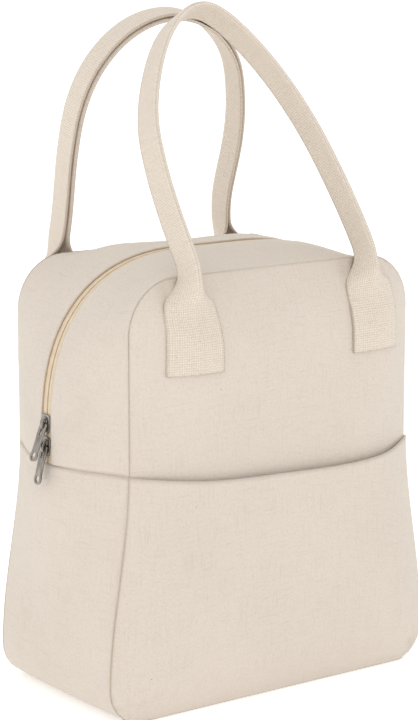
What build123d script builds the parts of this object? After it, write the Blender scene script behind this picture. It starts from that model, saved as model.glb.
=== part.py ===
from build123d import *
import os
from math import atan2, cos, hypot, radians, sin
from typing import NamedTuple

# An insulated canvas lunch bag. Millimetres. X runs across the width, Y from front to
# back, Z up. The origin is at the centre of the base, on the surface it stands on.
# The front has the pocket. Both zip sliders are parked at the low end of the zip, on -X.

# ---- Driving dimensions: the bag's shell ----
BASE_WIDTH = 262.0          # across the base, at the front and back seams
WAIST_WIDTH = 230.0         # across the seams at the height where the zip ends
SEAM_DEPTH = 132.0          # from the front seam to the back seam
SEAM_TOP = 290.0            # top edge of the front and back panels
CREST_TOP = 298.0           # the zip's highest line, on the centre plane
CREST_WIDTH = 272.0         # across the centre plane, where the gusset bulges most
BASE_BULGE = 2.0            # how far the gusset stands out of the seams at the base
BASE_PRESS = 0.1            # how far the bag's weight presses its base flat
WAIST_HEIGHT = 164.0        # the side seam, where the zip gusset is sewn to the base gusset
BASE_CORNER_RADIUS = 24.0
PANEL_CORNER_RADIUS = 36.0  # upper corners of the front and back panels
SHOULDER_RADIUS = 108.0     # the zip's bend over each shoulder
PANEL_BULGE = 18.5          # how far each panel swells out of its seam
LEAST_RADIUS = 5.0          # corners of the innermost bands

# ---- Driving dimensions: the layers of the wall ----
CANVAS = 1.2
FOAM = 4.0
LINING = 0.8
LAYER_GAP = 0.1
SPLIT_GAP = 1.0             # between the lower shell and the flaps that open

# ---- Driving dimensions: the pocket ----
POCKET_TOP = 157.0
POCKET_ROOM = 7.5           # depth of the pocket at its middle
POCKET_FLOOR = 0.2          # the pocket's lowest edge stays off the ground

# ---- Driving dimensions: the zip ----
ZIP_SLOT = 10.6             # canvas edge to canvas edge, across the zip
TAPE_DEPTH = 2.2            # outer face of the tape, below the crest
TAPE_THICKNESS = 0.6
TAPE_REACH = 11.0           # how far each tape runs from the centre plane
COIL_GAP = 1.2              # half of the gap between the two coils
COIL_WIDTH = 2.4
COIL_HEIGHT = 1.6
INSULATION_SLOT = 24.0      # the foam and the lining stop short of the zip by this slot
HINGE_CLEARANCE = 0.4

# ---- Driving dimensions: sliders and pulls ----
SLIDER_LENGTH = 13.0
SLIDER_WIDTH = 9.0
SLIDER_FACE = 0.2           # outer face of the slider, below the crest
SLIDER_OUTER_PLATE = 1.4
SLIDER_INNER_PLATE = 1.2
SLIDER_RUN = 1.2            # clearance between the coil and the inner plate
POST_WIDTH = 1.2
POST_LENGTH = 4.0
BRIDGE_LENGTH = 10.4
BRIDGE_HEIGHT = 3.6
BRIDGE_THICKNESS = 1.1
BRIDGE_WIDTH = 2.2
SLIDER_SPACING = 15.0       # from the lower slider's middle to the upper one's
PULL_LENGTH = 26.0
PULL_WIDTH = 7.5
PULL_THICKNESS = 1.3
PULL_EYE_LENGTH = 6.6
PULL_EYE_WIDTH = 3.2
PULL_HOLE_RADIUS = 1.8
PULL_CORNER_RADIUS = 3.0
PULL_PIVOT = 1.25           # bar's centre above the slider's outer face
UPPER_PULL_LEAN = 22.0      # degrees out from the bag's side
LOWER_PULL_LEAN = 14.0

# ---- Driving dimensions: the handles ----
WEBBING_WIDTH = 40.0
TAB_SPACING = 147.0         # between the middles of the two tabs on one panel
TAB_BOTTOM = 227.0
TAB_TOP = 267.0
TAB_THICKNESS = 2.0
TAB_GAP = 0.2
GRIP_WIDTH = 20.0           # the webbing folded in half
GRIP_THICKNESS = 4.0
FOLD_LENGTH = 34.0          # over which the flat webbing folds in half
GRIP_CLEARANCE = 1.0        # between a hanging handle and its tab
FRONT_APEX = (13.0, 455.0)  # Y and Z of the middle of the front grip
BACK_APEX = (44.0, 448.0)   # Y and Z of the middle of the back grip

# ---- Worked out from them ----
SEAM_Y = SEAM_DEPTH / 2
FOAM_START = CANVAS + LAYER_GAP
LINING_START = FOAM_START + FOAM + LAYER_GAP
WALL = LINING_START + LINING
LOWER_TOP = WAIST_HEIGHT - SPLIT_GAP / 2
FLAP_BOTTOM = WAIST_HEIGHT + SPLIT_GAP / 2
LAYERS = {"panel": (0.0, CANVAS), "foam": (FOAM_START, FOAM_START + FOAM), "lining": (LINING_START, WALL)}
BANDS = ((0.0, 0.0), (0.10, 0.43), (0.30, 0.81), (0.54, 1.0))
BAND_REACH = 100.0          # the bands' insets are shares of this
COIL_DEPTH = TAPE_DEPTH + TAPE_THICKNESS
INNER_PLATE_DEPTH = COIL_DEPTH + COIL_HEIGHT + SLIDER_RUN
SHOULDER_HEIGHT = CREST_TOP - SHOULDER_RADIUS
LOWER_SLIDER_HEIGHT = SHOULDER_HEIGHT - SLIDER_SPACING
HANDLE_HINGE_Y = SEAM_Y + PANEL_BULGE + TAB_GAP + TAB_THICKNESS + GRIP_CLEARANCE + TAB_THICKNESS / 2
HANDLE_HINGE_Z = TAB_TOP + TAB_THICKNESS / 2 + HINGE_CLEARANCE
REACH = 2 * CREST_TOP       # longer than anything a cut has to pass through


class Slice(NamedTuple):
    """The bag's outline on one vertical plane that faces the front."""
    base_half: float
    waist_half: float
    shoulder_half: float
    shoulder_radius: float
    top: float


SEAM_SLICE = Slice(BASE_WIDTH / 2, WAIST_WIDTH / 2, WAIST_WIDTH / 2, PANEL_CORNER_RADIUS, SEAM_TOP)
CREST_SLICE = Slice(
    BASE_WIDTH / 2 + BASE_BULGE, CREST_WIDTH / 2, CREST_WIDTH / 2, SHOULDER_RADIUS, CREST_TOP
)


def outline(shape: Slice, y: float, inset: float) -> Sketch:
    """A slice of the bag on the plane at depth y, drawn in by an inset."""
    corner = max(BASE_CORNER_RADIUS - inset, LEAST_RADIUS)
    shoulder = max(shape.shoulder_radius - inset, LEAST_RADIUS)
    base = shape.base_half - inset
    waist = shape.waist_half - inset
    side = shape.shoulder_half - inset
    top = shape.top - inset
    bottom = inset - BASE_PRESS
    with BuildSketch(Plane.XZ.offset(-y)) as slice_face:
        with BuildLine():
            Line((0, bottom), (base - corner, bottom))
            CenterArc((base - corner, bottom + corner), corner, -90, 90)
            Spline((base, bottom + corner), (waist, WAIST_HEIGHT), tangents=((0, 1), (0, 1)))
            Line((waist, WAIST_HEIGHT), (side, top - shoulder))
            CenterArc((side - shoulder, top - shoulder), shoulder, 0, 90)
            Line((side - shoulder, top), (0, top))
            mirror(about=Plane.YZ)
        make_face()
    return slice_face.sketch


def barrel(inset: float) -> Part:
    """The gusset's solid, from the front seam to the back seam, widest on the centre plane."""
    slices = ((SEAM_SLICE, -SEAM_Y), (CREST_SLICE, 0), (SEAM_SLICE, SEAM_Y))
    with BuildPart() as solid:
        loft([outline(shape, y, inset) for shape, y in slices])
    return solid.part


def pillow(inset: float, bulge: float) -> Part:
    """The solid behind a swollen front panel, from its seam out to its flat middle."""
    sections = []
    for band_inset, band_height in BANDS:
        height = max(band_height * bulge - inset, 0) if band_height else 0
        sections.append(outline(SEAM_SLICE, -(SEAM_Y + height), inset + band_inset * BAND_REACH))
    with BuildPart() as solid:
        loft(sections)
    return solid.part


def gusset_layer(layer: str) -> Part:
    """One layer of the whole ring that runs round the bag between its two seams."""
    start, end = LAYERS[layer]
    with BuildPart() as ring:
        add(barrel(start))
        add(barrel(end), mode=Mode.SUBTRACT)
    return ring.part


def panel_layer(layer: str) -> Part:
    """One layer of the whole front panel."""
    start, end = LAYERS[layer]
    with BuildPart() as dish:
        add(pillow(start, PANEL_BULGE))
        add(pillow(end, PANEL_BULGE), mode=Mode.SUBTRACT)
    return dish.part


def save(piece: BuildPart, name: str) -> None:
    """Label a finished piece and write it under its own name."""
    piece.part.label = name
    export_step(piece.part, f"parts/{name}.step")


def save_both_ways(piece: Part, ending: str) -> None:
    """Write a front piece and its mirror image at the back."""
    for side in ("front", "back"):
        with BuildPart() as copy:
            add(piece)
            if side == "back":
                mirror(about=Plane.XZ, mode=Mode.REPLACE)
        save(copy, f"{side}_{ending}")


os.makedirs("parts", exist_ok=True)

# ---- The lower shell: three layers of gusset, front panel and back panel ----
GUSSET_NAMES = {"panel": "base_gusset", "foam": "base_gusset_foam", "lining": "base_gusset_lining"}
PANEL_NAMES = {"panel": "panel", "foam": "foam", "lining": "lining"}
rings = {layer: gusset_layer(layer) for layer in LAYERS}
dishes = {layer: panel_layer(layer) for layer in LAYERS}

for layer, ring in rings.items():
    with BuildPart() as base_gusset:
        add(ring)
        split(bisect_by=Plane.XY.offset(LOWER_TOP), keep=Keep.BOTTOM)
        split(bisect_by=Plane.XY, keep=Keep.TOP)
    save(base_gusset, GUSSET_NAMES[layer])

for layer, dish in dishes.items():
    with BuildPart() as lower_panel:
        add(dish)
        split(bisect_by=Plane.XY.offset(LOWER_TOP), keep=Keep.BOTTOM)
        split(bisect_by=Plane.XY, keep=Keep.TOP)
    save_both_ways(lower_panel.part, f"{PANEL_NAMES[layer]}_lower")

# ---- The flaps: the same layers above the side seams ----
for layer, dish in dishes.items():
    with BuildPart() as upper_panel:
        add(dish)
        split(bisect_by=Plane.XY.offset(FLAP_BOTTOM), keep=Keep.TOP)
    save_both_ways(upper_panel.part, f"{PANEL_NAMES[layer]}_upper")

for layer, ring in rings.items():
    slot = ZIP_SLOT if layer == "panel" else INSULATION_SLOT
    with BuildPart() as zip_gusset:
        add(ring)
        split(bisect_by=Plane.XY.offset(FLAP_BOTTOM), keep=Keep.TOP)
        split(bisect_by=Plane.XZ.offset(slot / 2), keep=Keep.TOP)
    save_both_ways(zip_gusset.part, "zip_gusset" if layer == "panel" else f"zip_gusset_{layer}")


def arch(depth: float, thickness: float, near: float, far: float) -> Part:
    """A band that follows the crest at a depth below it, between two distances from the centre."""
    with BuildPart() as band:
        add(extrude(outline(CREST_SLICE, -near, depth), amount=far - near, mode=Mode.PRIVATE))
        add(
            extrude(outline(CREST_SLICE, -near, depth + thickness), amount=far - near, mode=Mode.PRIVATE),
            mode=Mode.SUBTRACT,
        )
        split(bisect_by=Plane.XY.offset(FLAP_BOTTOM), keep=Keep.TOP)
    return band.part


save_both_ways(arch(TAPE_DEPTH, TAPE_THICKNESS, COIL_GAP, TAPE_REACH), "zip_tape")
save_both_ways(arch(COIL_DEPTH, COIL_HEIGHT, COIL_GAP, COIL_GAP + COIL_WIDTH), "zip_coil")

# ---- The pocket: a looser skin over the lower front panel, open along its top edge ----
with BuildPart() as front_pocket:
    add(pillow(-CANVAS, PANEL_BULGE + POCKET_ROOM))
    add(pillow(0, PANEL_BULGE + POCKET_ROOM), mode=Mode.SUBTRACT)
    add(pillow(-LAYER_GAP, PANEL_BULGE), mode=Mode.SUBTRACT)
    split(bisect_by=Plane.XY.offset(POCKET_TOP), keep=Keep.BOTTOM)
    split(bisect_by=Plane.XY.offset(POCKET_FLOOR), keep=Keep.TOP)
save(front_pocket, "front_pocket")

# ---- The sewn ends of the handles: squares of webbing that lie on the panels ----
for tab_side, tab_sign in (("left", -1), ("right", 1)):
    with BuildPart() as handle_tab:
        add(pillow(-(TAB_GAP + TAB_THICKNESS), PANEL_BULGE))
        add(pillow(-TAB_GAP, PANEL_BULGE), mode=Mode.SUBTRACT)
        with BuildSketch(Plane.XZ.offset(SEAM_Y)):
            with Locations((tab_sign * TAB_SPACING / 2, (TAB_BOTTOM + TAB_TOP) / 2)):
                Rectangle(WEBBING_WIDTH, TAB_TOP - TAB_BOTTOM)
        extrude(amount=REACH, mode=Mode.INTERSECT)
    save_both_ways(handle_tab.part, f"handle_tab_{tab_side}")


def handle_plane(side: int, apex: tuple) -> Plane:
    """The plane that a handle lies in, hinged above its tabs: side is -1 at the front, 1 at the back."""
    hinge_y = side * HANDLE_HINGE_Y
    lean = atan2(apex[0] - hinge_y, apex[1] - HANDLE_HINGE_Z)
    return Plane(origin=(0, hinge_y, HANDLE_HINGE_Z), x_dir=(1, 0, 0), z_dir=(0, -cos(lean), sin(lean)))


# ---- The handles: webbing folded in half, in loops that lean in over the zip ----
for handle_side, sign, apex in (("front", -1, FRONT_APEX), ("back", 1, BACK_APEX)):
    handle_length = hypot(apex[0] - sign * HANDLE_HINGE_Y, apex[1] - HANDLE_HINGE_Z)
    bend = TAB_SPACING / 2
    straight = handle_length - bend
    plane = handle_plane(sign, apex)
    with BuildPart() as handle:
        with BuildSketch(plane):
            with BuildLine():
                Line((-bend, FOLD_LENGTH), (-bend, straight))
                ThreePointArc((-bend, straight), (0, handle_length), (bend, straight))
                Line((bend, straight), (bend, FOLD_LENGTH))
            trace(line_width=GRIP_THICKNESS)
        extrude(amount=GRIP_WIDTH / 2, both=True)
        for leg in (-bend, bend):
            foot = Plane(origin=plane.from_local_coords((leg, 0, 0)), x_dir=plane.x_dir, z_dir=plane.y_dir)
            with BuildSketch(foot):
                Rectangle(WEBBING_WIDTH, TAB_THICKNESS)
            with BuildSketch(foot.offset(FOLD_LENGTH)):
                Rectangle(GRIP_THICKNESS, GRIP_WIDTH)
            loft()
    save(handle, f"{handle_side}_handle")


def side_plane(height: float) -> Plane:
    """A plane on the zip's low end: its X runs up the zip and its Y points out of the bag's side."""
    return Plane(origin=(SLIDER_FACE - CREST_WIDTH / 2, 0, height), x_dir=(0, 0, 1), z_dir=(0, -1, 0))


def pull_plane(height: float, lean: float) -> Plane:
    """The plane that a pull lies in: its X points back to the slider's bar, and it hangs out by a lean."""
    angle = radians(lean)
    origin = (SLIDER_FACE - CREST_WIDTH / 2 - PULL_PIVOT, 0, height)
    return Plane(origin=origin, x_dir=(sin(angle), 0, cos(angle)), z_dir=(-cos(angle), 0, sin(angle)))


# ---- The sliders: two plates, the post between the coils, and the bridge that holds the pull ----
SLIDERS = {
    "upper": (SHOULDER_HEIGHT, UPPER_PULL_LEAN),
    "lower": (LOWER_SLIDER_HEIGHT, LOWER_PULL_LEAN),
}
inner_face = INNER_PLATE_DEPTH - SLIDER_FACE
for slider_name, (slider_height, pull_lean) in SLIDERS.items():
    with BuildPart() as slider:
        with BuildSketch(side_plane(slider_height)):
            with Locations((0, -SLIDER_OUTER_PLATE / 2)):
                Rectangle(SLIDER_LENGTH, SLIDER_OUTER_PLATE)
            with Locations((0, -inner_face - SLIDER_INNER_PLATE / 2)):
                Rectangle(SLIDER_LENGTH, SLIDER_INNER_PLATE)
        extrude(amount=SLIDER_WIDTH / 2, both=True)
        with BuildSketch(side_plane(slider_height)):
            with Locations((POST_LENGTH / 2, -(SLIDER_OUTER_PLATE + inner_face) / 2)):
                Rectangle(POST_LENGTH, inner_face)
        extrude(amount=POST_WIDTH / 2, both=True)
        with BuildSketch(side_plane(slider_height)):
            with Locations((0, BRIDGE_HEIGHT / 2)):
                Rectangle(BRIDGE_LENGTH, BRIDGE_HEIGHT)
            with Locations((0, (BRIDGE_HEIGHT - BRIDGE_THICKNESS) / 2)):
                Rectangle(
                    BRIDGE_LENGTH - 2 * BRIDGE_THICKNESS,
                    BRIDGE_HEIGHT - BRIDGE_THICKNESS,
                    mode=Mode.SUBTRACT,
                )
        extrude(amount=BRIDGE_WIDTH / 2, both=True)
    save(slider, f"{slider_name}_slider")

    bar = PULL_THICKNESS / 2
    with BuildPart() as pull:
        with BuildSketch(pull_plane(slider_height, pull_lean)):
            with Locations((bar - PULL_LENGTH / 2, 0)):
                RectangleRounded(PULL_LENGTH, PULL_WIDTH, PULL_CORNER_RADIUS)
            with Locations((-bar - PULL_EYE_LENGTH / 2, 0)):
                Rectangle(PULL_EYE_LENGTH, PULL_EYE_WIDTH, mode=Mode.SUBTRACT)
            with Locations((bar - PULL_LENGTH + PULL_WIDTH / 2, 0)):
                Circle(PULL_HOLE_RADIUS, mode=Mode.SUBTRACT)
        extrude(amount=PULL_THICKNESS / 2, both=True)
    save(pull, f"{slider_name}_pull")
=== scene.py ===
"""An insulated canvas lunch bag: soft shell, pocket, two-way zip and webbing handles."""
import logging
from dataclasses import dataclass, field
from enum import Enum
from math import cos, pi, radians, sin
from typing import Sequence

import bmesh
import bpy
import numpy as np
from mathutils import Matrix, Vector


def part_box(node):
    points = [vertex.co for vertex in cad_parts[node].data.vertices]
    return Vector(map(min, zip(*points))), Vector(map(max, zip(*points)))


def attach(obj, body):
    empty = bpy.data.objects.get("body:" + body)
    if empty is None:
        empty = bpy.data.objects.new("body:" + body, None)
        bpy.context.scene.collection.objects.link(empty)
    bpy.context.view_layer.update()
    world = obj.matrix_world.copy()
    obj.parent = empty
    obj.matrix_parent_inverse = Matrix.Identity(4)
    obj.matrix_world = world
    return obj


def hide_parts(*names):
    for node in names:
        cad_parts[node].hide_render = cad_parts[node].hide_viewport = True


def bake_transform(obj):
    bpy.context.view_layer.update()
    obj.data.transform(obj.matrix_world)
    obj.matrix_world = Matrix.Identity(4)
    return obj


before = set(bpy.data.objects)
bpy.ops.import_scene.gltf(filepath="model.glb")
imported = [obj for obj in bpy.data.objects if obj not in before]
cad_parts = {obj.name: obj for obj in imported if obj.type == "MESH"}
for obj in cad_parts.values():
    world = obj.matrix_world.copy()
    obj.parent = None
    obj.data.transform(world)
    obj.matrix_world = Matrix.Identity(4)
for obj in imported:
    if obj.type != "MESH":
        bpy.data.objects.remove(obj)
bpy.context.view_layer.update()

log = logging.getLogger("lunch_bag")
MM = 0.001
Grid = np.ndarray
Paint = bpy.types.Material
Piece = bpy.types.Object


class Side(Enum):
    """The two faces of the bag, by the sign of their Y."""

    FRONT = -1
    BACK = 1

    @property
    def word(self) -> str:
        """The word that the frame's names start with."""
        return self.name.lower()


class Layer(Enum):
    """The layers of the wall: depth of the outer and inner face under the bag's skin."""

    CANVAS = (0.0, 1.2 * MM)
    FOAM = (1.9 * MM, 5.3 * MM)
    LINING = (5.4 * MM, 6.2 * MM)

    @property
    def panel_word(self) -> str:
        """The layer's word in the frame's panel names."""
        return "panel" if self is Layer.CANVAS else self.name.lower()

    @property
    def gusset_ending(self) -> str:
        """What the layer's gusset names end with in the frame."""
        return "" if self is Layer.CANVAS else f"_{self.name.lower()}"


class Axis(Enum):
    """A direction that a weave's threads or ribs run in."""

    ALONG = 0
    ACROSS = 1


# ---------------------------------------------------------------- finishes


class NodeSheet:
    """A small builder for one material's node tree."""

    def __init__(self, name: str) -> None:
        """Start an empty material with a Principled shader.

        Args:
            name: The material's name.
        """
        self.material = bpy.data.materials.new(name)
        self.material.use_nodes = True
        self.tree = self.material.node_tree
        self.shader = self.tree.nodes["Principled BSDF"]

    def node(self, kind: str, **sockets: object) -> bpy.types.Node:
        """Add a node and set its properties and inputs.

        Args:
            kind: The node's type, without the ShaderNode prefix.
            **sockets: Properties by name, or inputs as in_NAME or in_INDEX.

        Returns:
            The new node.
        """
        made = self.tree.nodes.new("ShaderNode" + kind)
        for key, value in sockets.items():
            if not key.startswith("in_"):
                setattr(made, key, value)
                continue
            name = key[3:]
            socket = made.inputs[int(name) if name.isdigit() else name.replace("_", " ")]
            if isinstance(value, bpy.types.NodeSocket):
                self.tree.links.new(value, socket)
            else:
                socket.default_value = value
        return made

    def math(self, operation: str, first: object, second: object = 0.0, third: object = 0.0) -> object:
        """Add a Math node.

        Args:
            operation: The Math node's operation.
            first: A number or an output.
            second: A number or an output.
            third: A number or an output.

        Returns:
            The node's output.
        """
        return self.node("Math", operation=operation, in_0=first, in_1=second, in_2=third).outputs[0]

    def mix(self, share: object, first: object, second: object) -> object:
        """Mix two colours.

        Args:
            share: How much of the second colour shows.
            first: The first colour.
            second: The second colour.

        Returns:
            The mixed colour.
        """
        made = self.node("Mix", data_type="RGBA", clamp_factor=True)
        for index, value in ((0, share), (6, first), (7, second)):
            if isinstance(value, bpy.types.NodeSocket):
                self.tree.links.new(value, made.inputs[index])
            else:
                made.inputs[index].default_value = value
        return made.outputs[2]

    def cloth_place(self) -> tuple:
        """Find the place on the cloth, in metres.

        Returns:
            The UV vector, and its two numbers.
        """
        place = self.node("UVMap", uv_map="cloth").outputs[0]
        parts = self.node("SeparateXYZ", in_0=place)
        return place, parts.outputs[0], parts.outputs[1]

    def stretched_noise(self, place: object, along: float, across: float, detail: float = 2.0) -> object:
        """Noise whose blots have a length and a width.

        Args:
            place: The cloth's UV vector.
            along: A blot's length, in metres.
            across: A blot's width, in metres.
            detail: Octaves of noise.

        Returns:
            The noise, from 0 to 1.
        """
        moved = self.node("Mapping", in_Vector=place, in_Scale=(1 / along, 1 / across, 1.0)).outputs[0]
        return self.node("TexNoise", in_Vector=moved, in_Scale=1.0, in_Detail=detail).outputs[0]

    def band(self, value: object, low: float, high: float, least: float, most: float) -> object:
        """Map a range of values onto another one.

        Args:
            value: The output to map.
            low: The value that gives least.
            high: The value that gives most.
            least: The result at low.
            most: The result at high.

        Returns:
            The mapped output.
        """
        made = self.node("MapRange", clamp=True, in_0=value, in_1=low, in_2=high, in_3=least, in_4=most)
        return made.outputs[0]

    def finish(self, colour: object, roughness: object, height: object, strength: float, deep: float) -> None:
        """Join colour, roughness and bump to the shader.

        Args:
            colour: The base colour's output.
            roughness: The roughness output.
            height: The height output for the bump.
            strength: The bump's strength.
            deep: The bump's depth, in metres.
        """
        bump = self.node("Bump", in_Height=height, in_Strength=strength, in_Distance=deep)
        self.tree.links.new(colour, self.shader.inputs["Base Color"])
        self.tree.links.new(roughness, self.shader.inputs["Roughness"])
        self.tree.links.new(bump.outputs[0], self.shader.inputs["Normal"])


@dataclass(frozen=True)
class WovenFinish:
    """Plain-woven cotton: threads, slubs, seed specks, painted shade in the seams and under the straps, and a
    soft sheen.
    """

    name: str
    colour: tuple = (0.662, 0.594, 0.520)
    shade_colour: tuple = (0.40, 0.30, 0.21)
    slub_colour: tuple = (0.52, 0.43, 0.335)
    speck_colour: tuple = (0.30, 0.21, 0.13)
    warp_pitch: float = 0.72 * MM
    weft_pitch: float = 0.72 * MM
    slub_share: float = 0.42
    speck_spacing: float = 11 * MM
    weave_depth: float = 0.22 * MM
    weave_shade: float = 0.26
    sheen: float = 0.15

    def weave(self, sheet: NodeSheet, u: object, v: object) -> object:
        """Height of a plain weave, from 0 in the gaps to 1 on the threads.

        Args:
            sheet: The material's node builder.
            u: Place along the cloth's width.
            v: Place along the cloth's length.

        Returns:
            The height's output.
        """
        crossing = []
        for place, pitch in ((u, self.warp_pitch), (v, self.weft_pitch)):
            turn = sheet.math("MULTIPLY", place, pi / pitch)
            crossing.append(sheet.math("SINE", turn))
        over = sheet.math("MULTIPLY", crossing[0], crossing[1])
        over = sheet.math("MULTIPLY_ADD", over, 0.5, 0.5)
        gap = sheet.math("MULTIPLY", sheet.math("ABSOLUTE", crossing[0]), sheet.math("ABSOLUTE", crossing[1]))
        return sheet.math("MULTIPLY_ADD", gap, 0.6, sheet.math("MULTIPLY", over, 0.4))

    def material(self) -> Paint:
        """Build the material.

        Returns:
            The finished material.
        """
        sheet = NodeSheet(self.name)
        place, u, v = sheet.cloth_place()
        threads = self.weave(sheet, u, v)
        weft_slub = sheet.stretched_noise(place, 16 * MM, 1.1 * MM)
        warp_slub = sheet.stretched_noise(place, 1.3 * MM, 22 * MM)
        slub = sheet.math("MAXIMUM", weft_slub, warp_slub)
        cloud = sheet.stretched_noise(place, 70 * MM, 90 * MM, 3.0)
        fleck = sheet.stretched_noise(place, 1.6 * MM, 1.6 * MM)
        crease = sheet.node("Attribute", attribute_name="crease").outputs["Fac"]
        thick = sheet.band(slub, 0.55, 0.78, 0.0, self.slub_share)
        colour = sheet.mix(thick, (*self.colour, 1), (*self.slub_colour, 1))
        lighter = tuple(min(1.0, c * 1.07) for c in self.colour)
        colour = sheet.mix(sheet.band(cloud, 0.35, 0.7, 0.0, 0.5), colour, (*lighter, 1))
        colour = sheet.mix(sheet.band(fleck, 0.46, 0.72, 0.0, 0.30), colour, (*self.slub_colour, 1))
        gaps = sheet.band(threads, 0.0, 0.55, self.weave_shade, 0.0)
        colour = sheet.mix(gaps, colour, (*self.shade_colour, 1))
        cells = sheet.node("TexVoronoi", in_Vector=place, in_Scale=1 / self.speck_spacing, in_Randomness=1.0)
        chance = sheet.node("SeparateColor", in_0=cells.outputs["Color"]).outputs[0]
        wide = sheet.band(chance, 0.35, 1.0, 0.0, 0.045)
        speck = sheet.math("LESS_THAN", cells.outputs["Distance"], wide)
        colour = sheet.mix(sheet.math("MULTIPLY", speck, 0.7), colour, (*self.speck_colour, 1))
        # Painted shade: the crease attribute darkens the cloth in its seams, under the straps, along the
        # zip's rim and at the webbing's edges.
        painted_shade = sheet.math("MULTIPLY", crease, 0.75)
        colour = sheet.mix(painted_shade, colour, (*self.shade_colour, 1))
        rough = sheet.band(slub, 0.3, 0.8, 0.80, 0.94)
        raised = sheet.math("MULTIPLY_ADD", sheet.band(slub, 0.5, 0.8, 0.0, 1.0), 0.6, threads)
        sheet.finish(colour, rough, raised, 0.55, self.weave_depth)
        sheet.shader.inputs["Sheen Weight"].default_value = self.sheen
        sheet.shader.inputs["Sheen Roughness"].default_value = 0.6
        sheet.shader.inputs["Specular IOR Level"].default_value = 0.2
        return sheet.material


@dataclass(frozen=True)
class RibbedFinish:
    """A narrow woven or moulded surface with ribs across it: zip tape, coil and thread."""

    name: str
    colour: tuple
    shade: tuple
    pitch: float
    ribs: Axis = Axis.ALONG
    roughness: float = 0.7
    depth: float = 0.15 * MM

    def material(self) -> Paint:
        """Build the material.

        Returns:
            The finished material.
        """
        sheet = NodeSheet(self.name)
        place, u, v = sheet.cloth_place()
        way = u if self.ribs is Axis.ALONG else v
        rib = sheet.math("SINE", sheet.math("MULTIPLY", way, 2 * pi / self.pitch))
        rib = sheet.math("MULTIPLY_ADD", rib, 0.5, 0.5)
        blot = sheet.stretched_noise(place, 5 * MM, 5 * MM)
        share = sheet.math("MULTIPLY_ADD", rib, -0.35, 0.35)
        share = sheet.math("ADD", share, sheet.band(blot, 0.4, 0.75, 0.0, 0.25))
        # Painted shade: the crease attribute darkens the colour where the zip tapes meet and under the canvas
        # edges over them.
        crease = sheet.node("Attribute", attribute_name="crease").outputs["Fac"]
        share = sheet.math("ADD", share, sheet.math("MULTIPLY", crease, 0.9))
        colour = sheet.mix(share, (*self.colour, 1), (*self.shade, 1))
        rough = sheet.band(blot, 0.3, 0.8, self.roughness - 0.08, self.roughness + 0.08)
        sheet.finish(colour, rough, rib, 0.5, self.depth)
        return sheet.material


@dataclass(frozen=True)
class FilmFinish:
    """Silvery wipe-clean lining with a pressed grain and soft crumples."""

    name: str
    colour: tuple = (0.62, 0.63, 0.64)
    dark: tuple = (0.42, 0.43, 0.45)

    def material(self) -> Paint:
        """Build the material.

        Returns:
            The finished material.
        """
        sheet = NodeSheet(self.name)
        place, _, _ = sheet.cloth_place()
        crumple = sheet.stretched_noise(place, 18 * MM, 14 * MM, 4.0)
        grain = sheet.stretched_noise(place, 1.2 * MM, 1.2 * MM)
        colour = sheet.mix(sheet.band(crumple, 0.35, 0.65, 0.0, 0.7), (*self.colour, 1), (*self.dark, 1))
        rough = sheet.band(grain, 0.3, 0.7, 0.28, 0.42)
        raised = sheet.math("MULTIPLY_ADD", grain, 0.12, crumple)
        sheet.finish(colour, rough, raised, 0.6, 0.9 * MM)
        sheet.shader.inputs["Metallic"].default_value = 0.55
        return sheet.material


@dataclass(frozen=True)
class FoamFinish:
    """White closed-cell foam sheet with fine pores."""

    name: str
    colour: tuple = (0.84, 0.84, 0.82)
    pore: tuple = (0.62, 0.62, 0.60)

    def material(self) -> Paint:
        """Build the material.

        Returns:
            The finished material.
        """
        sheet = NodeSheet(self.name)
        place, _, _ = sheet.cloth_place()
        cells = sheet.node("TexVoronoi", in_Vector=place, in_Scale=1 / (1.4 * MM))
        share = sheet.band(cells.outputs["Distance"], 0.1, 0.6, 0.6, 0.0)
        colour = sheet.mix(share, (*self.colour, 1), (*self.pore, 1))
        rough = sheet.band(cells.outputs["Distance"], 0.0, 0.8, 0.75, 0.9)
        sheet.finish(colour, rough, cells.outputs["Distance"], 0.5, 0.3 * MM)
        return sheet.material


@dataclass(frozen=True)
class MetalFinish:
    """Nickel plate over die-cast zinc, with fine rubbing marks that darken it in streaks."""

    name: str
    colour: tuple = (0.33, 0.305, 0.275)
    dull: tuple = (0.09, 0.08, 0.068)

    def material(self) -> Paint:
        """Build the material.

        Returns:
            The finished material.
        """
        sheet = NodeSheet(self.name)
        place = sheet.node("TexCoord").outputs["Object"]
        moved = sheet.node("Mapping", in_Vector=place, in_Scale=(400.0, 400.0, 90.0)).outputs[0]
        rub = sheet.node("TexNoise", in_Vector=moved, in_Scale=1.0, in_Detail=3.0).outputs[0]
        colour = sheet.mix(sheet.band(rub, 0.45, 0.7, 0.0, 0.6), (*self.colour, 1), (*self.dull, 1))
        rough = sheet.band(rub, 0.3, 0.7, 0.16, 0.34)
        sheet.finish(colour, rough, rub, 0.12, 0.05 * MM)
        sheet.shader.inputs["Metallic"].default_value = 1.0
        return sheet.material


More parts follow.
